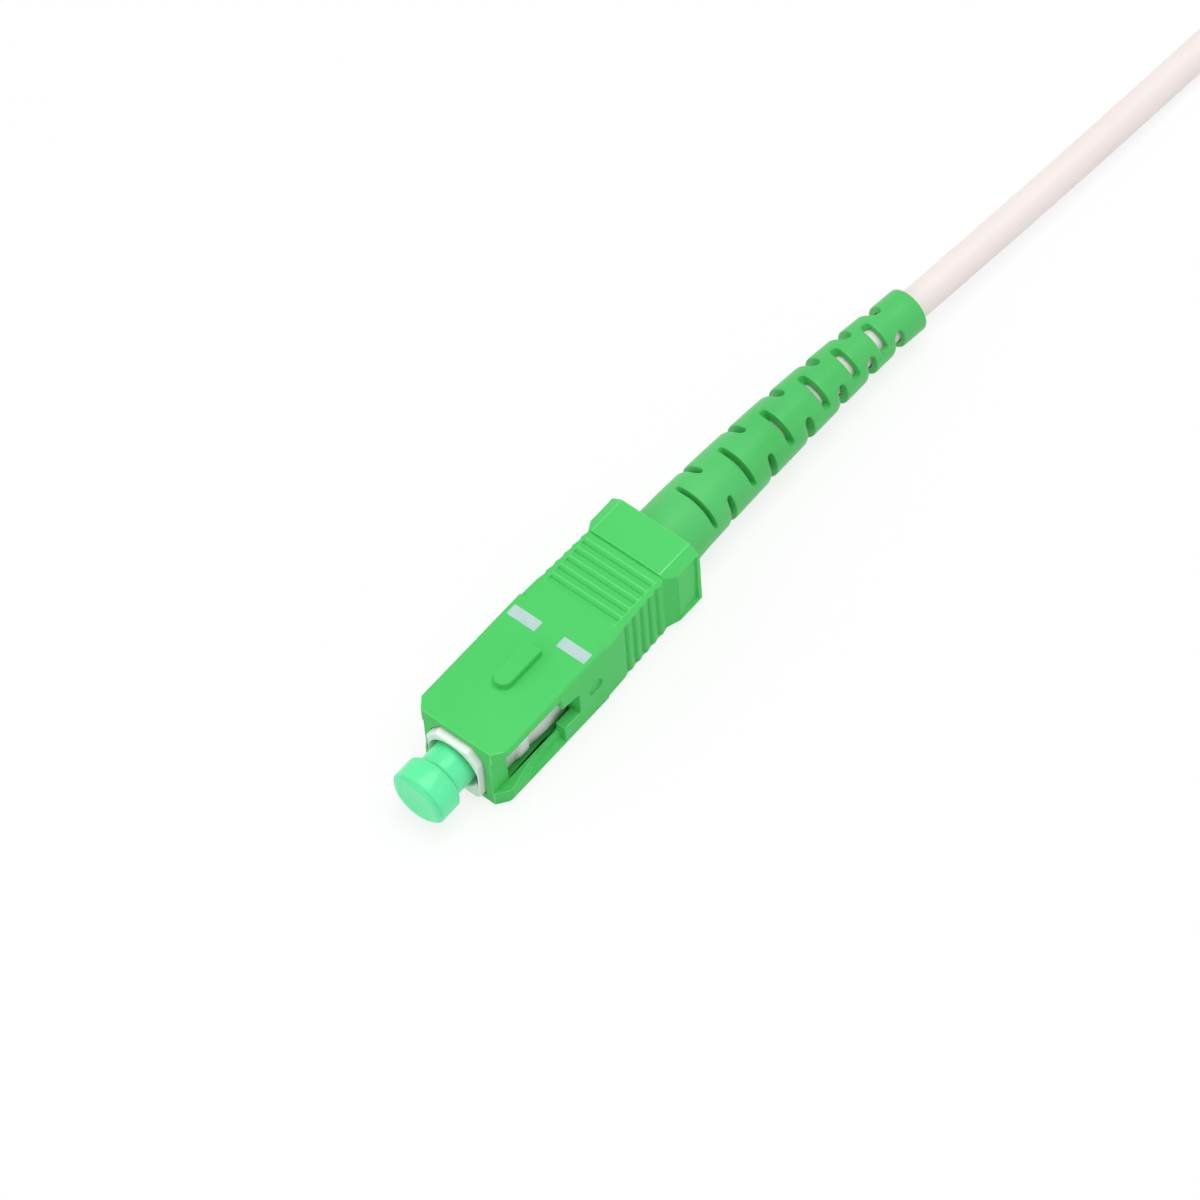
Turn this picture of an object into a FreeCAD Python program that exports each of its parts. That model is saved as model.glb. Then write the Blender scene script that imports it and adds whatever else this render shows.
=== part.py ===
# Push-pull SC fibre connector with an angled-polish ferrule, dust cap, slotted boot and a pigtail of cord.
# Millimetres. +Y runs from the mating face towards the cord, +Z up, +X to the right seen from the mating face.
# Origin: middle of the flat underside of the outer housing. Distances "back" are measured behind its front face.
import FreeCAD, Part
import math
import os
from FreeCAD import Placement, Rotation, Vector

# outer housing, the green coupling sleeve
housing_length = 25.5
housing_width = 9.0
housing_height = 7.4
housing_edge = 0.3           # rounding of the long edges of the smooth front
nose_chamfer_side = 0.88     # plan chamfer at the front corners, across
nose_chamfer_back = 1.15     # and along
slide_gap = 0.1              # running gap between housing and plug frame, each side
release_travel = 2.5         # how far the housing slides back on the plug frame
cavity_spare = 1.9           # flat-walled hole runs on this far behind the spring stop's flange
grip_lead = 2.15             # the long edges take their large bevel this far ahead of the grooves
grip_bevel_side = 0.95       # that bevel, across
grip_bevel_drop = 0.42       # and down
grip_waist = 0.42            # each side draws in by this much over the grip
groove_pitch = 1.05          # finger grooves
groove_count = 6
groove_depth = 0.15          # on the sides
groove_depth_flat = 0.22     # on top and underneath
groove_rise = 0.35           # length of the steep face of each rib
groove_overrun = 0.05        # the upper grooves run this far into the bevel
rear_length = 3.9            # rear block, with its flare
rear_width = 9.16
flare_length = 1.05          # sides run out again to full width over this length
shoulder_height = 0.25       # rear block stands this much above the smooth top
facet_side = 1.03            # big facet on the rear block's long edges, across
facet_drop = 0.7             # and down, at the upper edges
facet_drop_low = 0.65        # at the lower edges
panel_rim = 0.42             # rim left behind and below the sunk panel in each flank
panel_slope_back = 0.075     # the panel sinks towards the rear
panel_slope_down = 0.012     # and downwards
channel_wall = 3.5           # half width over the channel's inner wall
channel_length = 10.0
channel_top = 2.9            # upper edge of the side channel above the axis
channel_root = 2.15          # its upper face where it meets the inner wall
channel_tab_start = 7.9      # where the upper edge comes down
channel_tab_top = 1.55       # upper edge there
channel_tab_drop = 0.45      # and how much lower it is at the rear
bar_depth = 2.17             # top of the lower bar, below the axis
bar_fall_start = 1.2         # the bar's outer edge falls behind this place
bar_fall_back = 0.32         # this much for each millimetre along
bar_fall_side = 1.56         # and for each millimetre across
trough_start = 3.42          # trough in the bar's outer half, its start at the outer edge
trough_inner_start = 5.3     # and at the ridge
trough_ridge = 3.8           # half width over the ridge beside the trough
trough_foot = 3.95           # half width over the foot of the ridge
trough_depth = 3.0           # floor of the trough below the axis, at that foot
trough_depth_outer = 3.3     # and at the outer edge
ledge_start = 8.0            # step at the rear of the channel
ledge_depth = 1.42           # top of the step below the axis
window_start = 2.0           # the window begins behind a front post
dimple_back = 12.05          # round mark in each flank
dimple_radius = 0.8
dimple_depth = 0.2
dimple_low = 0.15            # below the axis
key_back = 5.3               # polarising key on top
key_length = 4.7
key_width = 1.7
key_height = 0.8
key_edge = 0.18
neck_bore = 6.1              # bore round the crimp and the boot's snout
neck_length = 2.9
tail_bore = 6.9              # wider bore at the rear, round the boot

# plug frame, the white inner body
frame_width = 6.0
frame_height = 5.8
frame_length = 16.2
frame_proud = 0.7            # stands out of the housing's front
frame_chamfer_side = 1.35    # upper corners
frame_chamfer_drop = 1.65
frame_corner = 0.6          # lower corners
port_bore = 4.9              # round mouth for the adapter's sleeve holder
port_depth = 6.3
port_lead = 0.1              # lead-in chamfer
seat_bore = 3.3              # hole that the ferrule passes, its rear face seats the flange
seat_length = 1.0
barrel_bore = 4.8            # room for flange, spring and spring stop
hook_way_depth = 0.33        # narrower flanks ahead of the latch block
latch_front = 3.75           # latch block: its ramp begins here
latch_ramp = 0.4
latch_start = 5.25           # adapter hooks drop in behind this face
latch_flat = 0.25            # deepest part of the recess
latch_depth = 0.35
latch_end = 7.6              # the recess curves out to the flank again
latch_swell = 0.07           # how much that curve bulges
lug_back = 11.4              # side lugs that limit the housing's travel
lug_length = 1.5
lug_height = 0.5
lug_reach = 1.6              # across the flank, up and down
lug_play = 0.05

# ferrule unit
ferrule_diameter = 2.5
ferrule_length = 10.5
ferrule_proud = 1.5          # tip ahead of the housing's front face
ferrule_tip_length = 0.45
ferrule_tip_radius = 0.8
polish_angle = 8.0
fibre_diameter = 0.125
funnel_length = 1.0
flange_diameter = 4.2
flange_collar = 1.8
flange_hub = 2.9
flange_length = 5.4
flange_slot = 0.8            # key slots in the collar
flange_slot_depth = 0.55
buffer_diameter = 0.9
buffer_fit = 0.05
buffer_gap = 1.1             # the fixed stretch of buffer starts this far behind the moving one
contact_gap = 0.03           # faces of different bodies that rest on each other

# spring
spring_wire = 0.4
spring_outer = 4.0
spring_half_turns = 8
wire_sides = 6

# spring stop with crimp post, guide tube, yarn and crimp ring
stop_nose_length = 2.9
stop_nose_fit = 0.04
stop_nose_bore = 3.2
stop_nose_depth = 1.6
stop_flange_length = 1.2
post_diameter = 3.8
post_length = 5.0
post_bore = 1.9
post_groove = 0.15
post_groove_count = 3
tube_outer = 1.8
tube_inner = 1.4
tube_room = 1.37             # guide tube starts this far behind the flange, clear of the ferrule's float
tube_gap = 0.1               # and ends this far ahead of the cord's jacket
yarn_outer = 4.2
yarn_inner = 3.84
yarn_length = 4.4
crimp_outer = 4.8
crimp_inner = 4.26
crimp_front_length = 4.8
crimp_cone_length = 1.0
crimp_rear_outer = 3.7
crimp_rear_length = 2.5
crimp_lead = 0.45            # crimp ring starts this far behind the stop's flange

# boot
boot_snout = 5.6             # slim front that stays inside the housing
boot_overlap = 3.25          # the crimp ring's front stands out of the snout by this much
boot_snout_length = 4.05     # ahead of the step out to full size
boot_root = 6.15             # diameters along the boot
boot_tip = 4.05
boot_bend_lead = 0.05        # the bend starts this far behind the crimp ring
boot_length = 31.9           # from there to its end
boot_collar = 3.1            # parallel end behind the last slot
boot_stages = 3              # straight stages that follow the bend
stage_step = 0.03            # fine step where the next stage's taper begins
stage_seam = 35.0            # turns each stage's seam away from the slots' middles
boot_bore_fit = 0.1          # round cord and crimp ring
bend_yaw = 4.2               # degrees towards +X over its length
bend_droop = 2.5             # degrees down
slot_first_top = 4.2         # first slot through top and underside, beyond the housing
slot_first_side = 6.9        # first slot through the flanks
slot_gaps_top = [5.15, 5.1, 4.6, 3.95, 3.5]
slot_gaps_side = [5.1, 4.75, 4.3, 3.75, 3.45]
slot_width_first = 0.42
slot_width_last = 0.95
slot_web = 0.62              # a slot's floor lies this share of the outer radius from the boot's axis
slot_shoulder = 0.4          # rounded shoulder on the housing side of each flank slot
shoulder_lift = 0.15         # share of that radius by which the rounding starts outside the surface

# cord
cord_diameter = 2.9
cord_seat = 1.15             # jacket's cut front end lies this far inside the crimp ring's narrow part

# dust cap
cap_stem = 4.15
cap_head = 5.35
cap_stem_front = 2.75        # head starts this far ahead of the housing's front face
cap_front = 5.35             # front of the head
cap_reach = 3.4              # stem reaches this far back into the port
cap_fit = 0.02               # grip fit on the ferrule, on the radius
cap_bottom = 0.35            # air ahead of the ferrule's tip
cap_edge = 0.45
cap_neck = 0.3               # fillet-like flare between stem and head
cap_dish = 0.3

# the stored length of cord: an oval hank, held by two ties
hank_fold = 8.7              # radius of the innermost fold, to the cord's middle
hank_straight = 22.6         # straight part between the folds
hank_columns = 2
hank_layers = 4
hank_pitch = 2.95
tie_thickness = 0.5
tie_width = 5.0
tie_fit = 0.05
hank_bevel = 0.75            # the outer cords' roundness, as a bevel

# corners of the cord's way: x, distance behind the housing's front face, height above the surface it lies on
cord_points = [
    (1.95, 67.8, 2.56), (2.66, 79.0, 2.08), (3.33, 90.5, 1.66), (3.95, 101.0, 1.47), (4.45, 109.5, 1.72),
    (4.6, 116.5, 2.0),
]

# worked out from the sizes above
axis_z = housing_height / 2
front = -housing_length / 2
half_width = housing_width / 2
rear_half = rear_width / 2
frame_top = frame_height / 2
frame_side = frame_width / 2
cord_radius = cord_diameter / 2
cavity_side = frame_side + slide_gap
cavity_top = frame_top + slide_gap
lip_side = frame_side - hook_way_depth + slide_gap
lip_length = latch_front - release_travel - lug_play
groove_end = housing_length - rear_length
groove_start = groove_end + groove_rise - groove_pitch * groove_count
grip_start = groove_start - grip_lead
seat_back = port_depth - frame_proud + seat_length
flange_back = seat_back + contact_gap
frame_back = frame_length - frame_proud
stop_front = frame_back - stop_nose_length
flange_end = frame_back + stop_flange_length
cavity_length = flange_end + cavity_spare
crimp_start = flange_end + crimp_lead
crimp_cone = crimp_start + crimp_front_length
crimp_neck = crimp_cone + crimp_cone_length
crimp_end = crimp_neck + crimp_rear_length
cord_front = crimp_neck + cord_seat
tube_start = flange_back + flange_length + tube_room
buffer_tail = cord_front - tube_gap
boot_start = crimp_start + boot_overlap
boot_shoulder = boot_start + boot_snout_length
boot_bend_start = crimp_end + boot_bend_lead
boot_taper = boot_length - boot_collar
stage_length = boot_length / boot_stages
bend_angle = math.hypot(bend_yaw, bend_droop)
bend_radius = boot_length / math.radians(bend_angle)
bend_plane = math.degrees(math.atan2(bend_droop, bend_yaw))
hank_outer = hank_fold + (hank_columns - 1) * hank_pitch + cord_radius
hank_inner = hank_fold - cord_radius
hank_height = (hank_layers - 1) * hank_pitch + cord_diameter
hank_low = tie_thickness + tie_fit


def along(back):
    """y of a place so far behind the housing's front face."""
    return front + back


def block(x0, x1, back0, back1, z0, z1):
    """Box between two x, two distances behind the front face and two heights above the axis."""
    corner = Vector(x0, along(back0), axis_z + z0)
    return Part.makeBox(x1 - x0, back1 - back0, z1 - z0, corner)


def prism(points, direction):
    """Straight prism on a closed outline."""
    return Part.Face(Part.makePolygon(points + points[:1])).extrude(direction)


def section_prism(outline, back0, back1):
    """Prism along Y on an outline of (x, height above the axis)."""
    points = [Vector(x, along(back0), axis_z + z) for x, z in outline]
    return prism(points, Vector(0, back1 - back0, 0))


def plan_prism(outline, z0, z1):
    """Prism along Z on an outline of (x, distance back)."""
    points = [Vector(x, along(back), axis_z + z0) for x, back in outline]
    return prism(points, Vector(0, 0, z1 - z0))


def flank_prism(outline, x0, x1):
    """Prism along X on an outline of (distance back, height above the axis)."""
    points = [Vector(x0, along(back), axis_z + z) for back, z in outline]
    return prism(points, Vector(x1 - x0, 0, 0))


def mirrored_x(shape):
    return shape.mirror(Vector(0, 0, 0), Vector(1, 0, 0))


def mirrored_z(shape):
    """Mirror image in the level plane through the axis."""
    return shape.mirror(Vector(0, 0, axis_z), Vector(0, 0, 1))


def rod(diameter, back0, back1):
    """Solid round bar on the connector's axis."""
    base = Vector(0, along(back0), axis_z)
    return Part.makeCylinder(diameter / 2, back1 - back0, base, Vector(0, 1, 0))


def turned(outline):
    """Solid of revolution about the connector's axis on an outline of (distance back, radius)."""
    points = [Vector(r, along(back), axis_z) for back, r in outline]
    face = Part.Face(Part.makePolygon(points + points[:1]))
    return face.revolve(Vector(0, 0, axis_z), Vector(0, 1, 0), 360)


def bevelled(half_x, half_z, cut_x, cut_z):
    """Rectangle outline about the axis with all four corners cut."""
    return [
        (half_x - cut_x, half_z), (half_x, half_z - cut_z), (half_x, cut_z - half_z), (half_x - cut_x, -half_z),
        (cut_x - half_x, -half_z), (-half_x, cut_z - half_z), (-half_x, half_z - cut_z), (cut_x - half_x, half_z),
    ]


# ---- outer housing ----

def housing_front():
    """Smooth front of the sleeve, its long edges rounded, with its plan chamfers."""
    body = block(-half_width, half_width, 0, grip_start, -axis_z, axis_z)
    long_edges = [e for e in body.Edges if abs(e.Length - grip_start) < 0.001]
    body = body.makeFillet(housing_edge, long_edges)
    nose = half_width - nose_chamfer_side
    plan = [(nose, 0), (half_width, nose_chamfer_back), (half_width, grip_start)]
    plan += [(-x, back) for x, back in reversed(plan)]
    return body.common(plan_prism(plan, -housing_height, housing_height))


def grip_half(back):
    """Half width over the crests of the ribs, drawn in evenly towards the rear block."""
    return half_width - grip_waist * (back - grip_start) / (groove_end - grip_start)


def rib_outline(level, depth):
    """Saw-tooth line of the ribs as (distance back, level), their steep faces to the front."""
    outline = []
    for i in range(groove_count):
        crest = groove_start + i * groove_pitch
        valley = crest + groove_pitch - groove_rise
        outline += [(crest, level(crest)), (valley, level(valley) - depth)]
    return outline


def housing_grip():
    """Bevelled grip, narrower towards the rear, with finger grooves on all four sides."""
    outline = bevelled(half_width, axis_z, grip_bevel_side, grip_bevel_drop)
    body = section_prism(outline, grip_start, groove_end)
    flat = half_width - grip_bevel_side + groove_overrun
    ribs = rib_outline(lambda back: axis_z, groove_depth_flat)
    top = flank_prism(ribs + [(groove_end, axis_z + 1), (groove_start, axis_z + 1)], -flat, flat)
    ribs = [(grip_start, half_width)] + rib_outline(grip_half, groove_depth)
    ribs += [(groove_end, half_width + 1), (grip_start, half_width + 1)]
    side = plan_prism([(x, back) for back, x in ribs], -housing_height, housing_height)
    for cut in (top, mirrored_z(top), side, mirrored_x(side)):
        body = body.cut(cut)
    return body


def housing_rear():
    """Rear block: flanks flare out to full width, the long edges carry large facets."""
    start = grip_half(groove_end) - groove_depth
    flare_end = groove_end + flare_length
    plan = [(start, groove_end), (rear_half, flare_end), (rear_half, housing_length)]
    plan += [(-x, back) for x, back in reversed(plan)]
    top = axis_z + shoulder_height
    body = plan_prism(plan, -axis_z, top)
    flat = rear_half - facet_side
    facet = [(flat, top), (rear_half, top - facet_drop), (rear_half, facet_drop_low - axis_z), (flat, -axis_z)]
    facet += [(-x, z) for x, z in reversed(facet)]
    body = body.common(section_prism(facet, groove_end, housing_length))
    corners = [
        (flare_end, top - facet_drop), (housing_length - panel_rim, top - facet_drop),
        (housing_length - panel_rim, facet_drop_low + panel_rim - axis_z),
        (flare_end, facet_drop_low + panel_rim - axis_z),
    ]
    floor = []
    for back, z in corners:
        sunk = panel_slope_back * (back - flare_end) + panel_slope_down * (top - facet_drop - z)
        floor.append(Vector(rear_half - sunk, along(back), axis_z + z))
    panel = prism(floor, Vector(1, 0, 0))
    return body.cut(panel).cut(mirrored_x(panel))


def side_channel():
    """Open channel in one flank, with the lower bar's falling edge, the rear step and the tab above it."""
    outside = half_width + 1
    channel = section_prism(
        [(channel_wall, channel_root), (half_width, channel_top), (outside, channel_top), (outside, -bar_depth),
         (channel_wall, -bar_depth)],
        -1, channel_length,
    )
    tab = flank_prism(
        [(channel_tab_start, channel_top), (channel_tab_start, channel_tab_top),
         (channel_length, channel_tab_top - channel_tab_drop), (channel_length, channel_top)],
        channel_wall, outside,
    )
    ledge = block(channel_wall, outside, ledge_start, channel_length, -bar_depth, -ledge_depth)
    return channel.cut(tab).cut(ledge)


def bar_fall():
    """Sloping cut that lowers the outer edge of the bar towards the rear, ahead of the step."""
    corners = []
    for x, back in ((channel_wall, 0), (half_width + 1, 0), (half_width + 1, ledge_start), (channel_wall, ledge_start)):
        drop = bar_fall_side * (x - half_width) + bar_fall_back * (back - bar_fall_start)
        corners.append(Vector(x, along(back), axis_z - bar_depth - drop))
    beyond = plan_prism(
        [(channel_wall - 1, -1), (channel_wall - 1, ledge_start), (trough_ridge, trough_inner_start),
         (half_width, trough_start), (half_width + 1, trough_start), (half_width + 1, -1)],
        -housing_height, -ledge_depth,
    )
    return prism(corners, Vector(0, 0, bar_depth)).common(beyond)


def bar_trough():
    """Long trough in the outer half of the bar, its front end slanting in plan."""
    slope = (trough_depth_outer - trough_depth) / (half_width - trough_foot)
    outside = half_width + 1
    trough = section_prism(
        [(trough_ridge, -bar_depth), (outside, -bar_depth), (outside, -trough_depth_outer - slope),
         (trough_foot, -trough_depth)],
        0, ledge_start,
    )
    run = (trough_inner_start - trough_start) / (half_width - trough_ridge)
    behind = plan_prism(
        [(channel_wall, trough_inner_start + run * (trough_ridge - channel_wall)),
         (outside, trough_start - run * (outside - half_width)), (outside, ledge_start), (channel_wall, ledge_start)],
        -housing_height, 0,
    )
    return trough.common(behind)


def window():
    """Opening in the channel's inner wall, beside the plug frame."""
    return block(0, channel_wall, window_start, channel_length, -cavity_top, channel_root)


def flank_dimple():
    """Shallow round mark in one flank."""
    base = Vector(half_width - dimple_depth, along(dimple_back), axis_z - dimple_low)
    return Part.makeCylinder(dimple_radius, 1, base, Vector(1, 0, 0))


def housing_key():
    """Polarising key on top, round at the front and square at the rear."""
    half = key_width / 2
    round_back = key_back + half
    sink = 0.1
    tail = block(-half, half, round_back, key_back + key_length, axis_z - sink, axis_z + key_height)
    nose = Part.makeCylinder(half, key_height + sink, Vector(0, along(round_back), 2 * axis_z - sink))
    key = tail.fuse(nose).removeSplitter()
    top = [e for e in key.Edges if min(v.Z for v in e.Vertexes) > 2 * axis_z + key_height - 0.01]
    return key.makeFillet(key_edge, top)


def housing_hole():
    """Hole right through the sleeve: like the plug frame's section with a lip at its front, round behind it."""
    neck_end = cavity_length + neck_length
    half = [
        (frame_side - frame_chamfer_side + slide_gap / 2, cavity_top),
        (cavity_side, frame_top - frame_chamfer_drop + slide_gap / 2), (cavity_side, -cavity_top),
    ]
    hole = section_prism(half + [(-x, z) for x, z in reversed(half)], -1, cavity_length)
    lip = block(lip_side, cavity_side + 1, -2, lip_length, -housing_height, housing_height)
    hole = hole.cut(lip).cut(mirrored_x(lip))
    hole = hole.fuse(rod(neck_bore, cavity_length, neck_end))
    hole = hole.fuse(rod(tail_bore, neck_end, housing_length + 1))
    lug_room = block(
        -cavity_side - lug_height, cavity_side + lug_height, lug_back - release_travel - lug_play,
        lug_back + lug_length + lug_play, -lug_reach / 2 - slide_gap, lug_reach / 2 + slide_gap,
    )
    return hole.fuse(lug_room)


def outer_housing():
    body = housing_front().fuse(housing_grip()).fuse(housing_rear()).removeSplitter()
    body = body.fuse(housing_key())
    for cut in (side_channel(), bar_fall(), bar_trough(), window(), flank_dimple()):
        body = body.cut(cut).cut(mirrored_x(cut))
    return body.cut(housing_hole())


# ---- plug frame ----

def frame_outline():
    """Outer section with larger cuts at its upper corners."""
    half = [
        (frame_side - frame_chamfer_side, frame_top), (frame_side, frame_top - frame_chamfer_drop),
        (frame_side, -frame_top + frame_corner), (frame_side - frame_corner, -frame_top),
    ]
    return half + [(-x, z) for x, z in reversed(half)]


def latch_recess():
    """Cut beside the latch block in one flank: a way for the hooks ahead of it, a curved recess behind it."""
    way = frame_side - hook_way_depth
    floor = frame_side - latch_depth
    ahead = plan_prism(
        [(way, -frame_proud - 1), (frame_side + 1, -frame_proud - 1), (frame_side + 1, latch_front + latch_ramp),
         (frame_side, latch_front + latch_ramp), (way, latch_front)],
        -housing_height, housing_height,
    )
    z = axis_z - housing_height
    flat_end = latch_start + latch_flat
    corners = [
        (floor, flat_end), (floor, latch_start), (frame_side + 1, latch_start), (frame_side + 1, latch_end),
        (frame_side, latch_end),
    ]
    points = [Vector(x, along(back), z) for x, back in corners]
    middle = (points[0] + points[-1]) * 0.5 + Vector(latch_swell, 0, 0)
    edges = [Part.makeLine(a, b) for a, b in zip(points[:-1], points[1:])]
    edges.append(Part.Arc(points[-1], middle, points[0]).toShape())
    behind = Part.Face(Part.Wire(edges)).extrude(Vector(0, 0, 2 * housing_height))
    return ahead.fuse(behind)


def plug_frame():
    body = section_prism(frame_outline(), -frame_proud, frame_back)
    lugs = block(
        -frame_side - lug_height + slide_gap, frame_side + lug_height - slide_gap, lug_back,
        lug_back + lug_length, -lug_reach / 2, lug_reach / 2,
    )
    body = body.fuse(lugs)
    recess = latch_recess()
    body = body.cut(recess).cut(mirrored_x(recess))
    port_end = port_depth - frame_proud
    port = port_bore / 2
    seat = seat_bore / 2
    barrel = barrel_bore / 2
    hole = turned([
        (-frame_proud - 1, 0), (-frame_proud - 1, port + port_lead), (-frame_proud, port + port_lead),
        (-frame_proud + port_lead, port), (port_end, port), (port_end, seat), (seat_back, seat),
        (seat_back, barrel), (frame_back + 1, barrel), (frame_back + 1, 0),
    ])
    return body.cut(hole)


# ---- ferrule unit ----

def ferrule():
    """Ceramic ferrule with a coned tip, polished at an angle, and a funnel for the buffer at its rear."""
    tip = -ferrule_proud
    radius = ferrule_diameter / 2
    body = turned([
        (tip, 0), (tip, ferrule_tip_radius), (tip + ferrule_tip_length, radius),
        (tip + ferrule_length, radius), (tip + ferrule_length, buffer_diameter / 2),
        (tip + ferrule_length - funnel_length, 0),
    ])
    lean = math.tan(math.radians(polish_angle)) * ferrule_tip_radius
    reach = radius + 1
    slope = lean / ferrule_tip_radius
    high = tip + lean + slope * reach
    low = tip + lean - slope * reach
    wedge = flank_prism([(tip - 2, -reach), (tip - 2, reach), (high, reach), (low, -reach)], -reach, reach)
    return body.cut(wedge).cut(rod(fibre_diameter, tip - 1, tip + ferrule_length))


def glass_fibre():
    """Fibre glued in the ferrule's bore, polished off with its face."""
    tip = -ferrule_proud + math.tan(math.radians(polish_angle)) * ferrule_tip_radius
    return rod(fibre_diameter, tip, -ferrule_proud + ferrule_length - funnel_length / 2)


def ferrule_flange():
    """Metal collar with four key slots and a hub that holds ferrule, buffer and spring."""
    collar = flange_diameter / 2
    hub = flange_hub / 2
    end = flange_back + flange_length
    ferrule_end = ferrule_length - ferrule_proud
    inner = ferrule_diameter / 2
    body = turned([
        (flange_back, inner), (flange_back, collar), (flange_back + flange_collar, collar),
        (flange_back + flange_collar, hub), (end, hub), (end, buffer_diameter / 2 + buffer_fit),
        (ferrule_end, buffer_diameter / 2 + buffer_fit), (ferrule_end, inner),
    ])
    for turn in range(4):
        slot = block(
            collar - flange_slot_depth, collar + 1, flange_back - 1, flange_back + flange_collar + 0.01,
            -flange_slot / 2, flange_slot / 2,
        )
        slot.rotate(Vector(0, 0, axis_z), Vector(0, 1, 0), 90 * turn)
        body = body.cut(slot)
    return body


def tight_buffer():
    """Buffered fibre that moves with the ferrule."""
    return rod(buffer_diameter, ferrule_length - ferrule_proud, buffer_tail)


def ferrule_spring():
    """Spring between the flange's collar and the spring stop: tilted half turns of many-sided wire."""
    start = flange_back + flange_collar + contact_gap + spring_wire / 2
    end = stop_front - contact_gap - spring_wire / 2
    rise = (end - start) / spring_half_turns
    radius = (spring_outer - spring_wire) / 2
    coil = None
    for i in range(spring_half_turns):
        side = 1 if i % 2 == 0 else -1
        begin = Vector(side * radius, along(start + i * rise), axis_z)
        middle = Vector(0, along(start + (i + 0.5) * rise), axis_z)
        angles = [math.radians(360 * (n + 0.5) / wire_sides) for n in range(wire_sides)]
        section = [begin + Vector(math.cos(a), math.sin(a), 0) * (spring_wire / 2) for a in angles]
        face = Part.Face(Part.makePolygon(section + section[:1]))
        half = face.revolve(middle, Vector(side * rise / 2, radius, 0), -180)
        coil = half if coil is None else coil.fuse(half)
    return coil.removeSplitter()


# ---- fixed inner parts ----

def spring_stop():
    """Stop body: nose in the plug frame, flange against its rear face, grooved post for the crimp."""
    nose = barrel_bore / 2 - stop_nose_fit
    post = post_diameter / 2
    post_end = flange_end + post_length
    flange = section_prism(frame_outline(), frame_back, flange_end)
    outline = [(stop_front, stop_nose_bore / 2), (stop_front, nose), (frame_back, nose), (frame_back, post)]
    step = post_length / (2 * post_groove_count + 1)
    for i in range(post_groove_count):
        groove = flange_end + (2 * i + 1) * step
        outline += [
            (groove, post), (groove, post - post_groove), (groove + step, post - post_groove), (groove + step, post),
        ]
    outline += [
        (post_end, post), (post_end, post_bore / 2), (stop_front + stop_nose_depth, post_bore / 2),
        (stop_front + stop_nose_depth, stop_nose_bore / 2),
    ]
    return flange.cut(rod(post_bore, frame_back - 1, flange_end + 1)).fuse(turned(outline)).removeSplitter()


def sleeve(outer, inner, back0, back1):
    """Plain round tube on the axis."""
    return rod(outer, back0, back1).cut(rod(inner, back0 - 1, back1 + 1))


def crimp_ring():
    """Stepped ring: wide over the post and yarn, narrow over the cord's jacket."""
    rear = cord_radius + boot_bore_fit / 2
    return turned([
        (crimp_start, crimp_inner / 2), (crimp_start, crimp_outer / 2), (crimp_cone, crimp_outer / 2),
        (crimp_neck, crimp_rear_outer / 2), (crimp_end, crimp_rear_outer / 2), (crimp_end, rear),
        (crimp_neck, rear), (crimp_cone, crimp_inner / 2),
    ])


# ---- boot and cord on their bent axis ----

def bend_axis():
    """Centre of the boot's bend and the line that it turns about."""
    plane = math.radians(bend_plane)
    pivot = Vector(bend_radius * math.cos(plane), along(boot_bend_start), axis_z - bend_radius * math.sin(plane))
    return pivot, Vector(-math.sin(plane), 0, -math.cos(plane))


def bent(shape, reach):
    """Carry a shape drawn straight at the start of the bend to a place so far along the boot's bent axis."""
    pivot, spin = bend_axis()
    moved = shape.copy()
    moved.rotate(pivot, spin, math.degrees(reach / bend_radius))
    return moved


def bent_point(reach):
    """Middle of the boot so far along its bend."""
    return bent(Part.Vertex(0, along(boot_bend_start), axis_z), reach).Point


def boot_radius(reach):
    """Outer radius so far along the bend: an even taper, then a parallel end collar."""
    share = min(1.0, reach / boot_taper)
    return (boot_root + (boot_tip - boot_root) * share) / 2


def bend_wedge(reach0, reach1):
    """All the space between two places of the bent axis, its walls square to the axis."""
    half = 2 * boot_root
    corners = [(half, half), (half, -half), (-half, -half), (-half, half), (half, half)]
    plate = Part.Face(Part.makePolygon([Vector(x, along(boot_bend_start), axis_z + z) for x, z in corners]))
    pivot, spin = bend_axis()
    return bent(plate, reach0).revolve(pivot, spin, math.degrees((reach1 - reach0) / bend_radius))


def join_stages(straight):
    """Carry straight pieces to their places on the bend, mitre them where they meet and join them."""
    stages = []
    for i, piece in enumerate(straight):
        place = i * stage_length
        piece = bent(piece, place)
        if i == 0:
            piece = piece.cut(bend_wedge(stage_length / 2, 1.5 * stage_length))
        else:
            piece = piece.common(bend_wedge(place - stage_length / 2, place + stage_length / 2))
        stages.append(piece)
    return stages[0].fuse(stages[1:])


def bent_bar(diameter, start, spare):
    """Round bar from a place ahead of the bend to the boot's end and a little beyond."""
    before = boot_bend_start - stage_length
    after = boot_bend_start + stage_length
    stages = [rod(diameter, start, after)]
    stages += [rod(diameter, before, after) for i in range(boot_stages - 1)]
    stages.append(rod(diameter, before, boot_bend_start + spare))
    return join_stages(stages)


def slot_places(first, gaps):
    """Distances of a row of slots beyond the housing."""
    places = [first]
    for gap in gaps:
        places.append(places[-1] + gap)
    return places


def slot_size(reach):
    """Slots widen evenly towards the boot's end."""
    share = (reach - slot_first_top) / (boot_taper - slot_first_top)
    return slot_width_first + (slot_width_last - slot_width_first) * share


def flat_slot(reach):
    """Cutter for the pair of slots through the top and the underside."""
    width = slot_size(reach)
    floor = boot_radius(reach) * slot_web
    outside = boot_root
    middle = boot_bend_start
    cut = block(-outside, outside, middle - width / 2, middle + width / 2, floor, outside)
    return bent(cut, reach), bent(mirrored_z(cut), reach)


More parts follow.
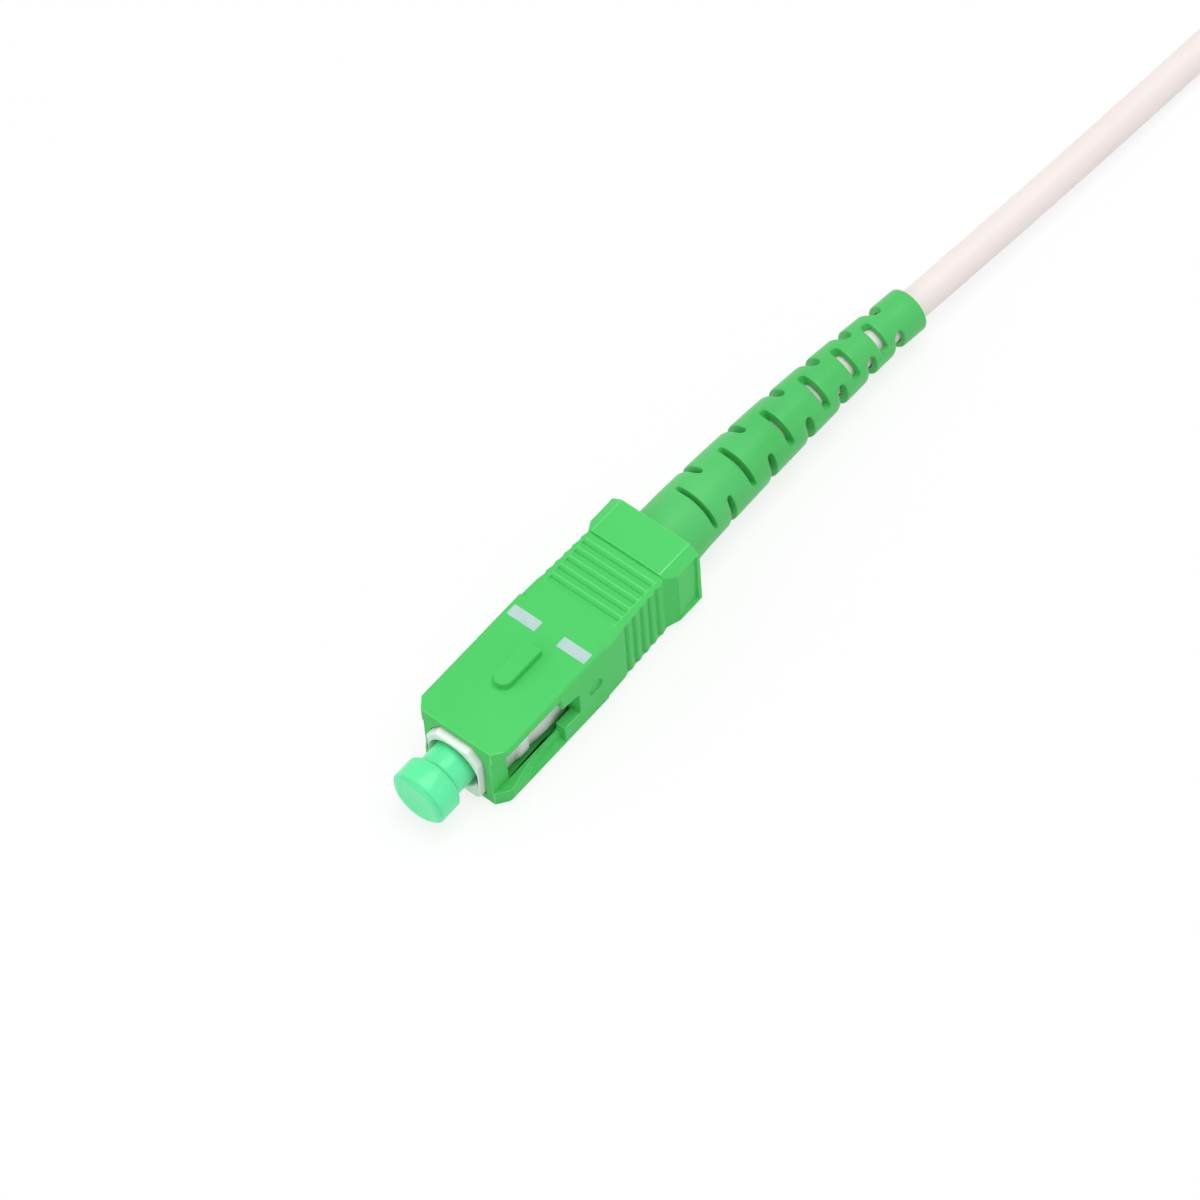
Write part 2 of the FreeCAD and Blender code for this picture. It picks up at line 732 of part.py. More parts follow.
def flank_slot(reach):
    """Cutter for the pair of slots through the flanks, its mouth rounded on the housing side."""
    width = slot_size(reach)
    radius = boot_radius(reach)
    floor = radius * slot_web
    outside = boot_root
    rear = along(boot_bend_start) + width / 2
    fore = along(boot_bend_start) - width / 2
    low = axis_z - outside
    centre_x = radius - slot_shoulder * (1 - shoulder_lift)
    centre_y = fore - slot_shoulder
    corners = [
        (centre_x, fore), (floor, fore), (floor, rear), (outside, rear), (outside, centre_y),
        (centre_x + slot_shoulder, centre_y),
    ]
    points = [Vector(x, y, low) for x, y in corners]
    bow = slot_shoulder * math.sqrt(0.5)
    edges = [Part.makeLine(a, b) for a, b in zip(points[:-1], points[1:])]
    edges.append(Part.Arc(points[-1], Vector(centre_x + bow, centre_y + bow, low), points[0]).toShape())
    cut = Part.Face(Part.Wire(edges)).extrude(Vector(0, 0, 2 * outside))
    return bent(cut, reach), bent(mirrored_x(cut), reach)


def boot_stage(i):
    """One tapering stage, drawn straight about its place on the bend."""
    before = boot_bend_start - stage_length
    after = boot_bend_start + stage_length
    fore = (i - 0.5) * stage_length
    aft = min(fore + stage_length, boot_taper)
    start = boot_radius(fore) - stage_step
    slope = (boot_radius(aft) - start) / (aft - fore)
    ahead = start - slope * stage_length / 2
    tip = boot_tip / 2
    root = boot_root / 2
    if i == 0:
        outline = [(boot_shoulder, root), (boot_bend_start, root), (after, boot_radius(stage_length))]
    elif i < boot_stages:
        outline = [(before, ahead), (after, start + slope * 1.5 * stage_length)]
    else:
        outline = [(before, ahead), (boot_bend_start - boot_collar, tip), (boot_bend_start, tip)]
    outline = [(outline[0][0], 0)] + outline + [(outline[-1][0], 0)]
    return turned(outline).rotated(Vector(0, 0, axis_z), Vector(0, 1, 0), stage_seam)


def boot():
    """Slotted strain relief: slim snout in the housing, tapered and gently bent body, staggered slots."""
    body = join_stages([boot_stage(i) for i in range(boot_stages + 1)])
    body = body.fuse(rod(boot_snout, boot_start, boot_shoulder))
    wide = crimp_outer / 2 + boot_bore_fit
    slim = crimp_rear_outer / 2 + boot_bore_fit
    hole = turned([
        (boot_start - 1, 0), (boot_start - 1, wide), (crimp_cone + boot_bore_fit, wide),
        (crimp_neck + boot_bore_fit, slim), (boot_bend_start, slim), (boot_bend_start, 0),
    ])
    bore = bent_bar(cord_diameter + 2 * boot_bore_fit, boot_bend_start, boot_collar)
    slots = []
    for reach in slot_places(slot_first_top, slot_gaps_top):
        slots += flat_slot(reach)
    for reach in slot_places(slot_first_side, slot_gaps_side):
        slots += flank_slot(reach)
    return body.cut(hole).cut(bore).cut(slots)


def boot_jacket():
    """Cord jacket inside the boot, a tube round the fixed buffer."""
    room = bent_bar(buffer_diameter + 2 * buffer_fit, cord_front - 1, boot_collar)
    return bent_bar(cord_diameter, cord_front, 0).cut(room).removeSplitter()


def boot_buffer():
    """Fixed stretch of 0.9 mm buffer inside that jacket."""
    return bent_bar(buffer_diameter, buffer_tail + buffer_gap, 0).removeSplitter()


# ---- dust cap ----

def dust_cap():
    """Soft cap: stem in the port round the ferrule, round head with a dished face."""
    stem = cap_stem / 2
    head = cap_head / 2
    neck = -cap_stem_front
    face = -cap_front
    body = turned([
        (face + cap_dish, 0), (face, head - 2 * cap_edge), (face, head - cap_edge), (face + cap_edge, head),
        (neck - cap_edge / 2, head), (neck, head - cap_edge / 2), (neck, stem + cap_neck), (neck + cap_neck, stem),
        (cap_reach - cap_edge / 2, stem), (cap_reach, stem - cap_edge / 2), (cap_reach, 0),
    ])
    return body.cut(rod(ferrule_diameter + 2 * cap_fit, -ferrule_proud - cap_bottom, cap_reach + 1))


# ---- the free cord ----

def cord_route():
    """Corners of the cord's way from the boot's end to the start of the hank."""
    start = bent_point(boot_length)
    return [start] + [Vector(x, along(back), z) for x, back, z in cord_points]


def cord_run():
    """Tube on straight runs joined by tangent arcs, each as large as its two runs allow."""
    points = cord_route()
    edges = []
    radii = []
    here = points[0]
    for before, corner, after in zip(points[:-2], points[1:-1], points[2:]):
        turn = (corner - before).getAngle(after - corner)
        room = 0.45 * min((corner - before).Length, (after - corner).Length)
        radius = room / math.tan(turn / 2)
        begin = corner + (before - corner).normalize() * room
        finish = corner + (after - corner).normalize() * room
        inside = ((begin + finish) * 0.5 - corner).normalize()
        knee = corner + inside * (radius / math.cos(turn / 2) - radius)
        edges.append(Part.LineSegment(here, begin).toShape())
        edges.append(Part.Arc(begin, knee, finish).toShape())
        radii.append(radius)
        here = finish
    edges.append(Part.LineSegment(here, points[-1]).toShape())
    path = Part.Wire(edges)
    section = Part.Wire(Part.makeCircle(cord_radius, points[0], points[1] - points[0]))
    tube = path.makePipeShell([section], True, False)
    expected = math.pi * cord_radius ** 2 * path.Length
    print("cord radii", [round(r, 1) for r in radii], "length", round(path.Length, 2))
    print("tube volume", round(tube.Volume, 2), "section times length", round(expected, 2))
    return tube


def hank_section(x0, x1, y):
    """Section of one side of the hank, square to +Y."""
    low, high = hank_low, hank_low + hank_height
    outline = [
        (x0 + hank_bevel, low), (x1 - hank_bevel, low), (x1, low + hank_bevel), (x1, high - hank_bevel),
        (x1 - hank_bevel, high), (x0 + hank_bevel, high), (x0, high - hank_bevel), (x0, low + hank_bevel),
    ]
    points = [Vector(x, y, z) for x, z in outline]
    return Part.Face(Part.makePolygon(points + points[:1]))


def cord_hank():
    """Outer shape of the stored turns: an oval ring, bevelled where the cords are round."""
    end = cord_points[-1]
    middle = end[0] - hank_outer + cord_radius
    near = along(end[1])
    far = near + hank_straight
    right = hank_section(middle + hank_inner, middle + hank_outer, near)
    left = hank_section(middle - hank_outer, middle - hank_inner, far)
    ring = right.extrude(Vector(0, hank_straight, 0)).fuse(left.extrude(Vector(0, -hank_straight, 0)))
    up = Vector(0, 0, 1)
    ring = ring.fuse(left.revolve(Vector(middle, far, 0), up, -180))
    ring = ring.fuse(right.revolve(Vector(middle, near, 0), up, -180)).removeSplitter()
    turns = 2 * math.pi * (hank_fold + (hank_columns - 1) * hank_pitch / 2) + 2 * hank_straight
    print("cord in the hank", round(turns * hank_columns * hank_layers, 1))
    return ring


def tie_band(side):
    """Flat band round one side of the hank, at the middle of its straight part."""
    end = cord_points[-1]
    middle = end[0] - hank_outer + cord_radius
    inner = side * (hank_inner - tie_fit)
    outer = side * (hank_outer + tie_fit)
    start = along(end[1]) + (hank_straight - tie_width) / 2
    low, high = tie_thickness, hank_low + hank_height + tie_fit
    bands = []
    for grow in (tie_thickness, 0):
        x0 = middle + min(inner, outer) - grow
        x1 = middle + max(inner, outer) + grow
        z0, z1 = low - grow, high + grow
        cut = hank_bevel + grow * (2 - math.sqrt(2))
        outline = [
            (x0 + cut, z0), (x1 - cut, z0), (x1, z0 + cut), (x1, z1 - cut),
            (x1 - cut, z1), (x0 + cut, z1), (x0, z1 - cut), (x0, z0 + cut),
        ]
        points = [Vector(x, start - tie_thickness + grow, z) for x, z in outline]
        bands.append(prism(points, Vector(0, tie_width + 2 * (tie_thickness - grow), 0)))
    return bands[0].cut(bands[1])


# ---- write every node ----

parts = {
    "outer_housing": outer_housing(),
    "plug_frame": plug_frame(),
    "ferrule": ferrule(),
    "glass_fibre": glass_fibre(),
    "ferrule_flange": ferrule_flange(),
    "tight_buffer": tight_buffer(),
    "ferrule_spring": ferrule_spring(),
    "spring_stop": spring_stop(),
    "guide_tube": sleeve(tube_outer, tube_inner, tube_start, buffer_tail),
    "aramid_yarn": sleeve(yarn_outer, yarn_inner, crimp_start, crimp_start + yarn_length),
    "crimp_ring": crimp_ring(),
    "boot": boot(),
    "boot_jacket": boot_jacket(),
    "boot_buffer": boot_buffer(),
    "dust_cap": dust_cap(),
    "cord_run": cord_run(),
    "cord_hank": cord_hank(),
    "hank_tie_right": tie_band(1),
    "hank_tie_left": tie_band(-1),
}

os.makedirs("parts", exist_ok=True)
for name, shape in parts.items():
    shape.exportStep("parts/" + name + ".step")
    print(name, "solids", len(shape.Solids), "valid", shape.isValid(), "volume", round(shape.Volume, 3))
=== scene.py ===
import bmesh
import bpy
import math
from mathutils import Matrix, Vector


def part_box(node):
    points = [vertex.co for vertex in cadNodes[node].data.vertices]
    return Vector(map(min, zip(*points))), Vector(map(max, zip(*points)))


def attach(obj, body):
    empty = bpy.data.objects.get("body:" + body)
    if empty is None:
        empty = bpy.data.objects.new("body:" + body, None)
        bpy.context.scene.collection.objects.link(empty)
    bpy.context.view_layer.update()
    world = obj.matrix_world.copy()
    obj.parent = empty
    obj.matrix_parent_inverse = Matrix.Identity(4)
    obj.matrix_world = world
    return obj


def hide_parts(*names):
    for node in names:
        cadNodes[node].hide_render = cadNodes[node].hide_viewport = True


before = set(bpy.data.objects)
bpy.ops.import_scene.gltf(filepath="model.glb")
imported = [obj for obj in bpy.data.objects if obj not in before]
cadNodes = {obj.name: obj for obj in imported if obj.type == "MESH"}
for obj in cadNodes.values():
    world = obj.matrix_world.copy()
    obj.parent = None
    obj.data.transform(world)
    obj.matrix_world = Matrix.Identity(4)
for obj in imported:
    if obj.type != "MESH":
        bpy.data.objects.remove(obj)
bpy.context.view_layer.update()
mm = 0.001
print("frame loaded:", len(cadNodes), "nodes")

# the plug frame gives the height of the axis, the sleeve's front face the places along it
frameLow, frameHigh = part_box("plug_frame")
axisHeight = (frameLow.z + frameHigh.z) / 2
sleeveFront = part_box("outer_housing")[0].y

finishValues = {
    "noiseRange": (0.3, 0.7),     # nearly all of the noise lies in here
    "refraction": 1.5,
    "mouldRelief": 0.02,          # depths of the bumps
    "latheRelief": 0.01,
    "strandRelief": 0.05,
    "strandBump": 0.7,
    "strandRoughness": 0.55,
    "strandSheen": 0.2,
}


def linearColour(red, green, blue):
    # display values from 0 to 255, turned into the linear ones that the nodes want
    linear = []
    for value in (red, green, blue):
        share = value / 255
        linear.append(share / 12.92 if share <= 0.04045 else ((share + 0.055) / 1.055) ** 2.4)
    return (*linear, 1)


def setInputs(node, values):
    for name, value in values.items():
        node.inputs[name].default_value = value


def newMaterial(name):
    material = bpy.data.materials.new(name)
    material.use_nodes = True
    nodes = material.node_tree.nodes
    nodes.clear()
    output = nodes.new("ShaderNodeOutputMaterial")
    shader = nodes.new("ShaderNodeBsdfPrincipled")
    material.node_tree.links.new(shader.outputs[0], output.inputs[0])
    return material, nodes, material.node_tree.links, shader


def objectNoise(nodes, links, scale, detail, roughness=0.5, stretch=(1, 1, 1)):
    # noise on the piece's own coordinates, stretched where a finish has a direction
    coordinates = nodes.new("ShaderNodeTexCoord")
    mapping = nodes.new("ShaderNodeMapping")
    mapping.inputs["Scale"].default_value = stretch
    noise = nodes.new("ShaderNodeTexNoise")
    setInputs(noise, {"Scale": scale, "Detail": detail, "Roughness": roughness})
    links.new(coordinates.outputs["Object"], mapping.inputs["Vector"])
    links.new(mapping.outputs["Vector"], noise.inputs["Vector"])
    return noise.outputs["Fac"]


def spread(nodes, links, source, low, high):
    # noise stays near its middle, so that part is stretched over the wanted range
    least, most = finishValues["noiseRange"]
    fit = nodes.new("ShaderNodeMapRange")
    setInputs(fit, {"From Min": least, "From Max": most, "To Min": low, "To Max": high})
    links.new(source, fit.inputs["Value"])
    return fit.outputs["Result"]


def unevenColour(nodes, links, shader, source, values):
    # the mix node's colours go in at 6 and 7 and come out at 2
    mix = nodes.new("ShaderNodeMix")
    mix.data_type = "RGBA"
    mix.inputs[6].default_value = values["dark"]
    mix.inputs[7].default_value = values["light"]
    links.new(spread(nodes, links, source, 0, 1), mix.inputs[0])
    links.new(mix.outputs[2], shader.inputs["Base Color"])


def unevenGloss(nodes, links, shader, source, values):
    low, high = values["roughness"]
    links.new(spread(nodes, links, source, low, high), shader.inputs["Roughness"])


def addBump(nodes, links, shader, source, strength, relief):
    bump = nodes.new("ShaderNodeBump")
    setInputs(bump, {"Strength": strength, "Distance": relief * mm})
    links.new(source, bump.inputs["Height"])
    links.new(bump.outputs["Normal"], shader.inputs["Normal"])


def mouldedPlastic(name, values):
    # slightly uneven colour, a fine spark-eroded grain and gloss that varies a little
    material, nodes, links, shader = newMaterial(name)
    setInputs(shader, {
        "IOR": values.get("ior", finishValues["refraction"]),
        "Subsurface Weight": values["glow"],
        "Subsurface Scale": 1.0,
        "Subsurface Radius": values["reach"],
        "Specular IOR Level": values["specular"],
        "Transmission Weight": values.get("clear", 0),
    })
    cloud = objectNoise(nodes, links, values["cloudScale"], detail=3)
    unevenColour(nodes, links, shader, cloud, values)
    unevenGloss(nodes, links, shader, cloud, values)
    grain = objectNoise(nodes, links, values["grainScale"], detail=2, roughness=0.6)
    addBump(nodes, links, shader, grain, values["grain"], finishValues["mouldRelief"])
    return material


def plainMetal(name, values):
    # turned or plated metal, its lines running round the axis
    material, nodes, links, shader = newMaterial(name)
    shader.inputs["Metallic"].default_value = 1
    lines = objectNoise(nodes, links, values["lineScale"], detail=4, roughness=0.6,
                        stretch=values["stretch"])
    unevenColour(nodes, links, shader, lines, values)
    unevenGloss(nodes, links, shader, lines, values)
    addBump(nodes, links, shader, lines, values["grain"], finishValues["latheRelief"])
    return material


def yarnFinish(name, values):
    # many fine strands side by side, each a little lighter or darker
    material, nodes, links, shader = newMaterial(name)
    strands = objectNoise(nodes, links, values["strandScale"], detail=3, roughness=0.7,
                          stretch=values["stretch"])
    unevenColour(nodes, links, shader, strands, values)
    setInputs(shader, {
        "Roughness": finishValues["strandRoughness"],
        "Sheen Weight": finishValues["strandSheen"],
    })
    addBump(nodes, links, shader, strands, finishValues["strandBump"], finishValues["strandRelief"])
    return material


cameraView = {
    "target": (-0.536, 5.949, 3.7),
    "azimuth": 43.338,            # degrees
    "elevation": 56.257,
    "roll": -4.895,
    "distance": 600.04,
    "lens": 221.09,
    "sensor": 36,
    "nearest": 0.01,              # metres
    "farthest": 10,
}


def makeCamera():
    data = bpy.data.cameras.new("camera")
    data.lens = cameraView["lens"]
    data.sensor_width = cameraView["sensor"]
    data.clip_start = cameraView["nearest"]
    data.clip_end = cameraView["farthest"]
    camera = bpy.data.objects.new("camera", data)
    bpy.context.scene.collection.objects.link(camera)
    turn = Matrix.Rotation(math.radians(cameraView["azimuth"]), 4, "Z")
    tilt = Matrix.Rotation(math.radians(90 - cameraView["elevation"]), 4, "X")
    roll = Matrix.Rotation(math.radians(cameraView["roll"]), 4, "Z")
    away = Matrix.Translation((0, 0, cameraView["distance"] * mm))
    target = Matrix.Translation(Vector(cameraView["target"]) * mm)
    camera.matrix_world = target @ turn @ tilt @ away @ roll
    bpy.context.scene.camera = camera


makeCamera()
print("camera set")


cordRoute = {
    "diameter": 2.9,
    "points": [                   # from the boot's end to the hank
        (1.17, 44.62, 3.0), (1.95, 55.05, 2.56), (2.66, 66.25, 2.08),
        (3.33, 77.75, 1.66), (3.95, 88.25, 1.47), (4.45, 96.75, 1.72),
    ],
    "order": 3,
    "stepsPerPoint": 8,
    "roundSteps": 8,
}
hank = {
    "fold": 8.7,                  # radius of the inner column's folds
    "straight": 22.6,
    "columns": 2,
    "layers": 4,
    "pitch": 2.95,                # from one turn to the next, sideways and upwards
    "join": (4.6, 103.75),        # where the cord runs into the first turn
    "bottom": 2.0,
    "pointsPerTurn": 16,
}


def hankPoint(middleX, nearY, radius, height, share):
    # a place on one oval turn: up the right side, round the far fold, down the left, round the near fold
    straight = hank["straight"]
    fold = math.pi * radius
    reach = share * 2 * (straight + fold)
    if reach < straight:
        return (middleX + radius, nearY + reach, height)
    reach -= straight
    if reach < fold:
        angle = reach / radius
        return (middleX + radius * math.cos(angle), nearY + straight + radius * math.sin(angle), height)
    reach -= fold
    if reach < straight:
        return (middleX - radius, nearY + straight - reach, height)
    angle = (reach - straight) / radius
    return (middleX - radius * math.cos(angle), nearY - radius * math.sin(angle), height)


def hankTurns():
    # oval turns, up the outer column's layers and then down the inner one's
    outer = hank["fold"] + (hank["columns"] - 1) * hank["pitch"]
    joinX, joinY = hank["join"]
    points = []
    for turn in range(hank["columns"] * hank["layers"]):
        column, layer = divmod(turn, hank["layers"])
        if column % 2 == 1:
            layer = hank["layers"] - 1 - layer
        radius = outer - column * hank["pitch"]
        height = hank["bottom"] + layer * hank["pitch"]
        for step in range(hank["pointsPerTurn"]):
            points.append(hankPoint(joinX - outer, joinY, radius, height, step / hank["pointsPerTurn"]))
    return points


def makeCord():
    curve = bpy.data.curves.new("cord", "CURVE")
    curve.dimensions = "3D"
    points = cordRoute["points"] + hankTurns()
    spline = curve.splines.new("NURBS")
    spline.points.add(len(points) - 1)
    for point, place in zip(spline.points, points):
        point.co = (*(value * mm for value in place), 1)
    spline.order_u = cordRoute["order"]
    spline.use_endpoint_u = True
    spline.resolution_u = cordRoute["stepsPerPoint"]
    curve.bevel_depth = cordRoute["diameter"] / 2 * mm
    curve.bevel_resolution = cordRoute["roundSteps"]
    curve.use_fill_caps = True
    cord = bpy.data.objects.new("cord", curve)
    bpy.context.scene.collection.objects.link(cord)
    return cord


cord = makeCord()
print("cord laid")


greenShell = mouldedPlastic("green shell", {
    "dark": linearColour(80, 206, 104), "light": linearColour(88, 213, 112), "cloudScale": 60,
    "glow": 0.05, "reach": (0.0001, 0.0003, 0.0001), "specular": 0.3, "roughness": (0.36, 0.46),
    "grainScale": 9000, "grain": 0.1, "ior": 1.22,
})
# a lighter, glossier copy of the shell's green for the outer edges' bevels: its lighter colour is a painted
# highlight along the edges
greenEdgePaintedHighlight = mouldedPlastic("green shell painted edge highlight", {
    "dark": linearColour(84, 213, 108), "light": linearColour(96, 220, 118), "cloudScale": 60,
    "glow": 0.15, "reach": (0.0003, 0.001, 0.0003), "specular": 0.6, "roughness": (0.2, 0.3),
    "grainScale": 9000, "grain": 0.05,
})
greenBoot = mouldedPlastic("green boot", {
    "dark": linearColour(74, 194, 98), "light": linearColour(88, 203, 112), "cloudScale": 80,
    "glow": 0.15, "reach": (0.0003, 0.001, 0.0003), "specular": 0.3, "roughness": (0.34, 0.46),
    "grainScale": 9000, "grain": 0.12,
})
whiteFrame = mouldedPlastic("white frame", {
    "dark": linearColour(242, 243, 243), "light": linearColour(248, 249, 249), "cloudScale": 60,
    "glow": 0.25, "reach": (0.0008, 0.0008, 0.0007), "specular": 0.5, "roughness": (0.3, 0.4),
    "grainScale": 9000, "grain": 0.08,
})
capPlastic = mouldedPlastic("cap plastic", {
    "dark": linearColour(92, 248, 166), "light": linearColour(106, 254, 178), "cloudScale": 200,
    "glow": 0.45, "reach": (0.0006, 0.0016, 0.001), "specular": 0.4, "roughness": (0.26, 0.36),
    "grainScale": 6000, "grain": 0.06, "clear": 0.04,
})
cordJacket = mouldedPlastic("cord jacket", {
    "dark": linearColour(240, 229, 226), "light": linearColour(246, 237, 234), "cloudScale": 50,
    "glow": 0.15, "reach": (0.001, 0.0008, 0.0007), "specular": 0.5, "roughness": (0.35, 0.45),
    "grainScale": 5000, "grain": 0.1,
})
bufferSkin = mouldedPlastic("buffer skin", {
    "dark": linearColour(232, 232, 228), "light": linearColour(240, 240, 236), "cloudScale": 300,
    "glow": 0.2, "reach": (0.0005, 0.0005, 0.0005), "specular": 0.5, "roughness": (0.3, 0.4),
    "grainScale": 9000, "grain": 0.05,
})
clearTube = mouldedPlastic("clear tube", {
    "dark": linearColour(228, 228, 222), "light": linearColour(238, 238, 232), "cloudScale": 300,
    "glow": 0.4, "reach": (0.001, 0.001, 0.001), "specular": 0.5, "roughness": (0.2, 0.3),
    "grainScale": 9000, "grain": 0.05, "clear": 0.3,
})
ceramic = mouldedPlastic("ceramic", {
    "dark": linearColour(240, 238, 230), "light": linearColour(246, 244, 238), "cloudScale": 200,
    "glow": 0.1, "reach": (0.0005, 0.0005, 0.0004), "specular": 0.7, "roughness": (0.08, 0.16),
    "grainScale": 9000, "grain": 0.03,
})
glassCore = mouldedPlastic("glass core", {
    "dark": linearColour(120, 132, 140), "light": linearColour(150, 160, 166), "cloudScale": 2000,
    "glow": 0, "reach": (0.0005, 0.0005, 0.0005), "specular": 0.6, "roughness": (0.05, 0.1),
    "grainScale": 9000, "grain": 0.02,
})
nickelPlate = plainMetal("nickel plate", {
    "dark": linearColour(176, 172, 164), "light": linearColour(206, 202, 194), "lineScale": 900,
    "stretch": (1, 12, 1), "roughness": (0.2, 0.35), "grain": 0.2,
})
springSteel = plainMetal("spring steel", {
    "dark": linearColour(150, 150, 150), "light": linearColour(182, 182, 180), "lineScale": 3000,
    "stretch": (1, 1, 1), "roughness": (0.22, 0.36), "grain": 0.1,
})
crimpMetal = plainMetal("crimp metal", {
    "dark": linearColour(186, 186, 182), "light": linearColour(212, 212, 208), "lineScale": 600,
    "stretch": (1, 10, 1), "roughness": (0.3, 0.45), "grain": 0.3,
})
aramid = yarnFinish("aramid yarn", {
    "dark": linearColour(196, 158, 58), "light": linearColour(232, 200, 104), "strandScale": 2600,
    "stretch": (1, 0.08, 1),
})
markPaint = mouldedPlastic("mark paint", {
    "dark": linearColour(176, 206, 202), "light": linearColour(190, 217, 213), "cloudScale": 900,
    "glow": 0, "reach": (0.0001, 0.0001, 0.0001), "specular": 0.4, "roughness": (0.4, 0.55),
    "grainScale": 9000, "grain": 0.2,
})
tieStrap = yarnFinish("tie strap", {
    "dark": linearColour(26, 26, 28), "light": linearColour(58, 58, 61), "strandScale": 2200,
    "stretch": (1, 1, 0.25),
})
print("finishes mixed")


def newPiece(name, shape, material, body):
    # puts the finished shape in the scene, riding on its body
    mesh = bpy.data.meshes.new(name)
    shape.to_mesh(mesh)
    shape.free()
    piece = bpy.data.objects.new(name, mesh)
    bpy.context.scene.collection.objects.link(piece)
    mesh.materials.append(material)
    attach(piece, body)
    return piece


def breakEdges(shape, edges, size, steps):
    bevelled = bmesh.ops.bevel(shape, geom=edges, offset=size, offset_type="OFFSET", segments=steps,
                               profile=0.5, affect="EDGES", clamp_overlap=False, material=-1)
    return bevelled["faces"]


def finishShading(shape, crease):
    # smooth shading, with a sharp edge wherever two faces meet at more than the crease angle
    for face in shape.faces:
        face.smooth = True
    for edge in shape.edges:
        edge.smooth = edge.calc_face_angle(0) < crease


def evenShading(piece):
    weighted = piece.modifiers.new("even shading", "WEIGHTED_NORMAL")
    weighted.keep_sharp = True


copyValues = {
    "join": 0.001,                # corners closer than this are one
    "flat": 1,                    # degrees, faces that meet at less than this are one
    "crease": 28,                 # degrees, edges that turn by more than this are broken
    "steps": 2,
    "outerCorner": 0.48,          # radians, a strip whose edges turn outwards by more is an outer corner and takes the painted edge highlight
}


def softCopy(nodeName, values):
    # the node's own solid, its triangles joined and its edges broken as a mould or a lathe leaves them
    shape = bmesh.new()
    shape.from_mesh(cadNodes[nodeName].data)
    bmesh.ops.remove_doubles(shape, verts=shape.verts, dist=copyValues["join"] * mm)
    bmesh.ops.dissolve_limit(shape, angle_limit=math.radians(copyValues["flat"]), verts=shape.verts,
                             edges=shape.edges)
    crease = math.radians(values.get("crease", copyValues["crease"]))
    if "before" in values:
        values["before"](shape)
    broken = []
    if values["edge"] > 0:
        sharp = [edge for edge in shape.edges if edge.calc_face_angle(0) > crease]
        broken = breakEdges(shape, sharp, values["edge"] * mm, values.get("steps", copyValues["steps"]))
    # outer-corner bevel faces take the second material, whose lighter colour is a painted edge highlight
    if "paintedHighlightFinish" in values:
        for face in broken:
            if sum(edge.calc_face_angle_signed(0) for edge in face.edges) > copyValues["outerCorner"]:
                face.material_index = 1
    if "after" in values:
        values["after"](shape)
    finishShading(shape, crease)
    piece = newPiece(values["name"], shape, values["finish"], values["body"])
    if "paintedHighlightFinish" in values:
        piece.data.materials.append(values["paintedHighlightFinish"])
    evenShading(piece)
    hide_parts(nodeName)
    return piece


gripValues = {
    "firstValley": 16.35,         # behind the sleeve's front face
    "pitch": 1.05,
    "count": 5,
    "end": 21.6,
    "nearness": 0.03,             # what lies this close to a valley's place is in the valley
    "valleyTurn": 20,             # degrees, the least that the faces of a flank's valley turn by
    "notch": 0.12,                # depth of the fine groove along each valley of the flat faces
    "flatHalf": 3.68,             # the flat faces' grooves stay inside this
    "flatSkin": (0.02, 0.4),      # least and greatest depth of valleys and step below the flat face
    "flankNotch": 0.26,
    "flankHalf": 3.72,            # the flanks' grooves stay outside this
    "flankOpening": 0.1,
    "flankSteps": 2,
    "flankMargin": 0.3,           # how far the cut flank faces go past the outermost valleys
    "flankFacing": 0.5,           # a face whose normal leans out more than this belongs to the flank
    "grooveHalf": 2.9,            # the flanks' grooves are full this far up and down from the axis
    "grooveMargin": 0.05,
    "endRise": 0.05,              # height of the low step behind the last groove
    "endShare": 0.85,             # how much of the way up to it that the ridge comes
    "endReach": (-0.12, 0.02),    # how far before and behind the end the step lies
}


def gripValleys():
    return [sleeveFront + (gripValues["firstValley"] + number * gripValues["pitch"]) * mm
            for number in range(gripValues["count"])]


def inValley(vertices, valleys):
    return any(all(abs(v.co.y - valley) < gripValues["nearness"] * mm for v in vertices)
               for valley in valleys)


def onFlank(place):
    return abs(place.x) > gripValues["flankHalf"] * mm


def openValleys(shape):
    # room for the fine grooves along the flanks' valleys
    valleys = gripValleys()
    leastTurn = math.radians(gripValues["valleyTurn"])
    edges = [edge for edge in shape.edges if edge.calc_face_angle(0) > leastTurn
             and all(onFlank(v.co) for v in edge.verts) and inValley(edge.verts, valleys)]
    breakEdges(shape, edges, gripValues["flankOpening"] * mm, gripValues["flankSteps"])
    # a cut near each end of the flanks, so that the grooves run out before the bevel
    front = valleys[0] - gripValues["flankMargin"] * mm
    back = valleys[-1] + gripValues["flankMargin"] * mm
    for height in (-gripValues["grooveHalf"], gripValues["grooveHalf"]):
        flank = [face for face in shape.faces if onFlank(face.calc_center_median())
                 and front < face.calc_center_median().y < back]
        parts = dict.fromkeys(flank)
        for face in flank:
            parts.update(dict.fromkeys([*face.edges, *face.verts]))
        bmesh.ops.bisect_plane(shape, geom=list(parts), plane_co=(0, 0, axisHeight + height * mm),
                               plane_no=(0, 0, 1))


